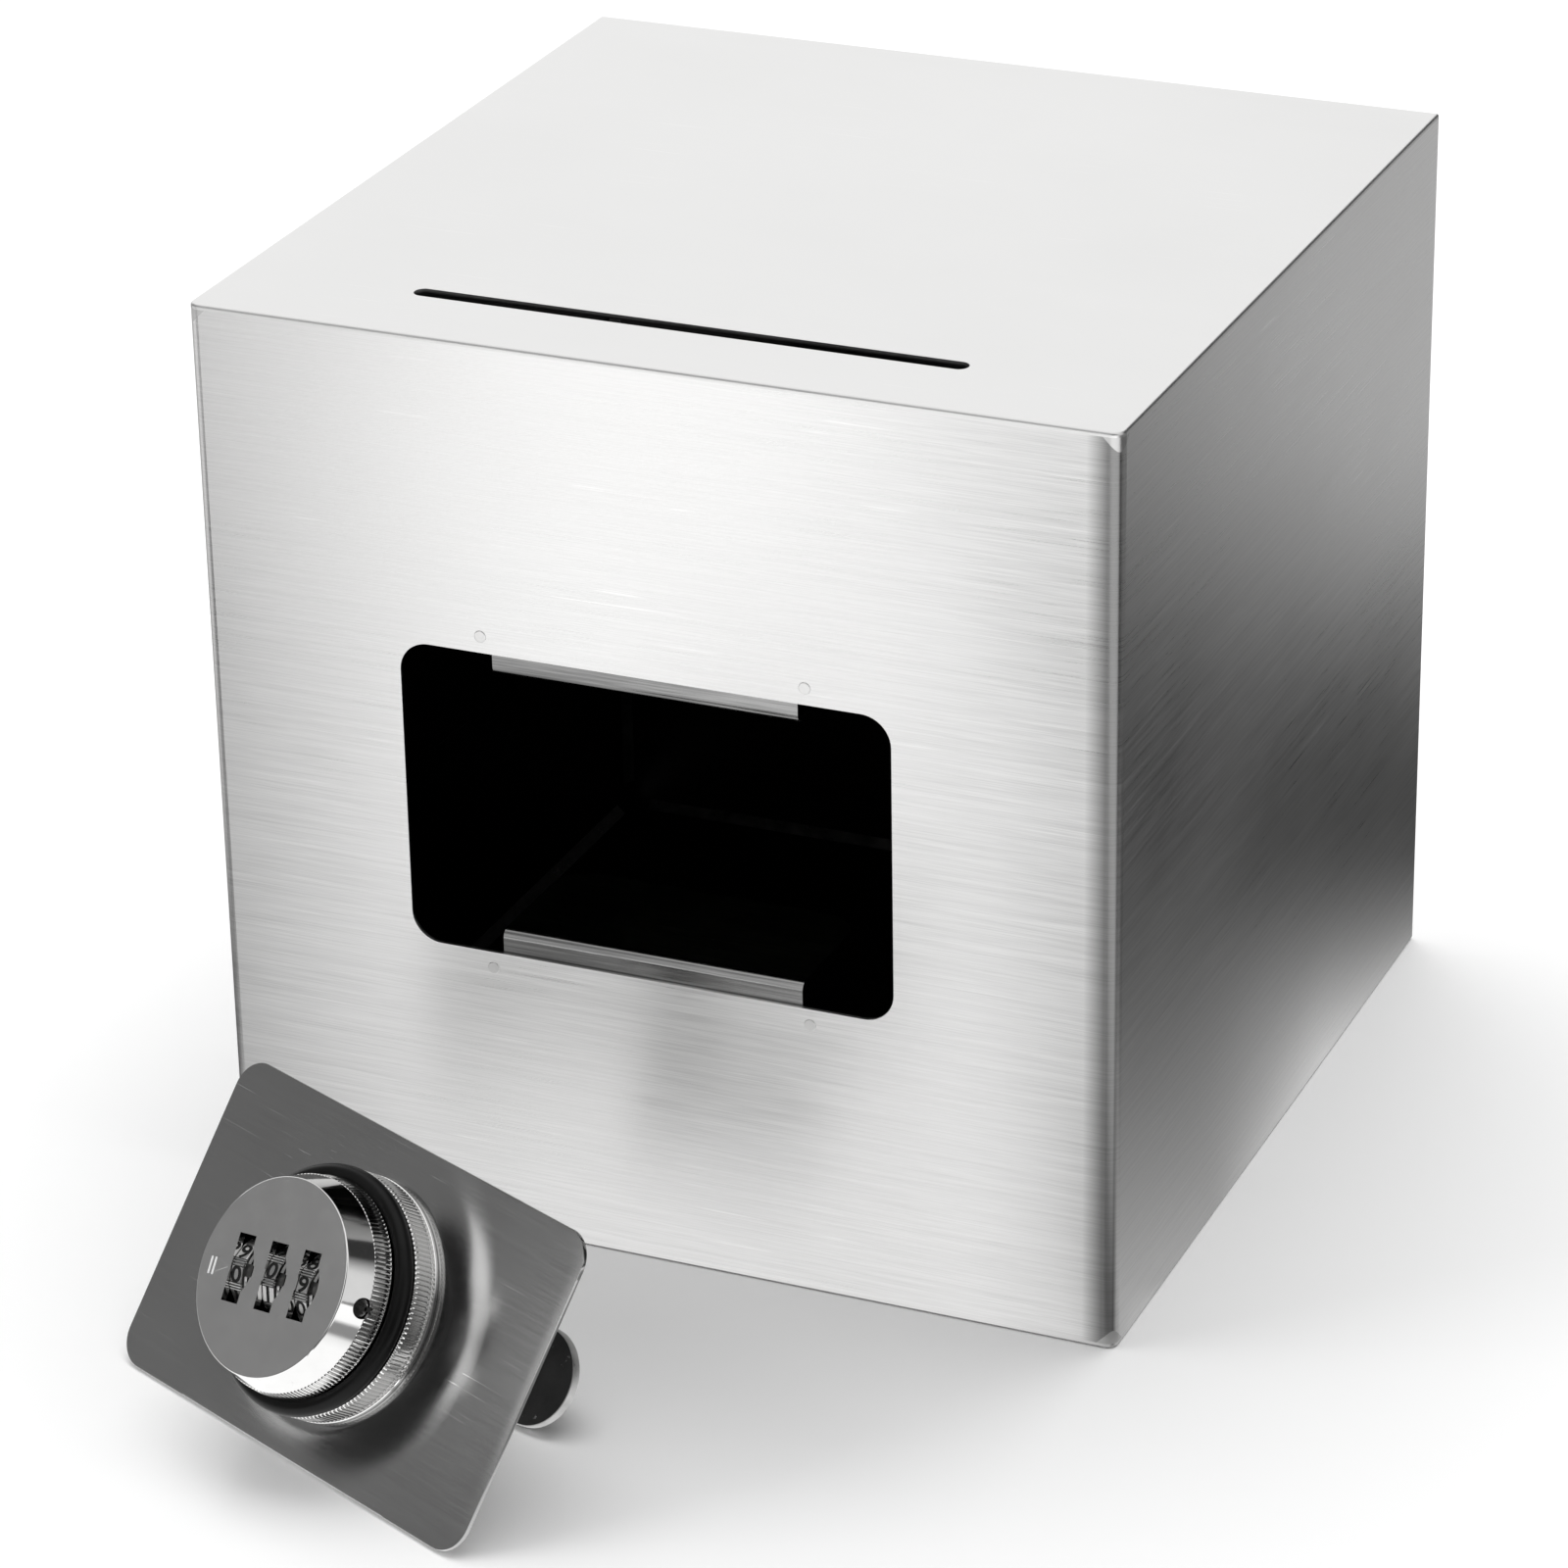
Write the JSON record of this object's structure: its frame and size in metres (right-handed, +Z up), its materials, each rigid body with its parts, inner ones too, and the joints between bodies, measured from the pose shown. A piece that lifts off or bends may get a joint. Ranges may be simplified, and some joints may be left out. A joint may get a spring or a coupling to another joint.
{
  "type": "cash box with combination lock cover",
  "caption": "Square welded sheet-steel cash box with a slot in the top and an access opening in front, its lift-off cover with a combination cam lock leaning in front.",
  "frame": {"origin": "middle of the box's base, on the surface it stands on", "axes": "+Z up; the front of the box, with its opening, faces -Y; +X is to the right seen from the front"},
  "size_m": [0.2, 0.3191, 0.2],
  "materials": {
    "box_sheet": "brushed stainless sheet, grain along each panel",
    "weld_metal": "welds, ground flush outside and left as laid inside",
    "bracket_sheet": "mill-finish stainless strip, bent",
    "cover_sheet": "brushed stainless sheet with fine scratches",
    "lock_chrome": "chrome-plated zinc, knurled",
    "barrel_chrome": "chrome-plated zinc, threaded",
    "seal_rubber": "black rubber",
    "plated_steel": "zinc-plated steel",
    "spring_steel": "spring steel",
    "inner_metal": "dark blackened metal inside the knob",
    "cam_black": "black coated steel with bare sheared edges",
    "wheel_chrome": "chrome-plated wheels with dark digits",
    "disc_metal": "plated steel",
    "pin_metal": "dark plated steel"
  },
  "bodies": {
    "box": {"front_shell": "box_sheet", "corner_weld_fills": "weld_metal", "top_panel": "box_sheet", "bottom_panel": "box_sheet", "back_panel": "box_sheet", "seam_weld_beads": "weld_metal", "upper_latch_bracket": "bracket_sheet", "lower_latch_bracket": "bracket_sheet", "bracket_plug_welds": "weld_metal"},
    "cover": {"cover_plate": "cover_sheet", "base_collar": "lock_chrome", "o_ring": "seal_rubber", "lock_barrel": "barrel_chrome", "anti_turn_washer": "plated_steel", "mounting_nut": "plated_steel"},
    "lock_core": {"knob_cap": "lock_chrome", "wheel_frame": "inner_metal", "wheel_axle": "plated_steel", "detent_spring": "spring_steel", "spindle": "plated_steel", "retaining_ring": "spring_steel", "stop_washer": "plated_steel", "cam_bar": "cam_black", "cam_lock_washer": "plated_steel", "cam_nut": "plated_steel", "change_pin_spring": "spring_steel"},
    "wheel_1": {"number_wheel_1": "wheel_chrome", "clutch_disc_1": "disc_metal"},
    "wheel_2": {"number_wheel_2": "wheel_chrome", "clutch_disc_2": "disc_metal"},
    "wheel_3": {"number_wheel_3": "wheel_chrome", "clutch_disc_3": "disc_metal"},
    "change_pin": {"change_pin": "pin_metal"}
  },
  "joints": [
    {"name": "cover_lift", "type": "slide", "parent": "box", "child": "cover", "axis": [0, 0, 1], "range_m": [0, 0.0715]},
    {"name": "knob_turn", "type": "hinge", "parent": "cover", "child": "lock_core", "pos_m": [-0.0314, -0.1816, 0.02822], "axis": [-0.3397, -0.7523, 0.5645], "range_deg": [0, 90]},
    {"name": "wheel_1_turn", "type": "hinge", "parent": "lock_core", "child": "wheel_1", "pos_m": [-0.04498, -0.18946, 0.0349], "axis": [0.9384, -0.3119, 0.149], "continuous": true},
    {"name": "wheel_2_turn", "type": "hinge", "parent": "lock_core", "child": "wheel_2", "pos_m": [-0.03626, -0.19236, 0.03629], "axis": [0.9384, -0.3119, 0.149], "continuous": true},
    {"name": "wheel_3_turn", "type": "hinge", "parent": "lock_core", "child": "wheel_3", "pos_m": [-0.02753, -0.19526, 0.03768], "axis": [0.9384, -0.3119, 0.149], "continuous": true},
    {"name": "change_pin_push", "type": "slide", "parent": "lock_core", "child": "change_pin", "axis": [-0.9337, 0.3418, -0.1063], "range_m": [0, 0.0012], "stiffness_N_per_m": 500, "springref_m": -0.002}
  ]
}
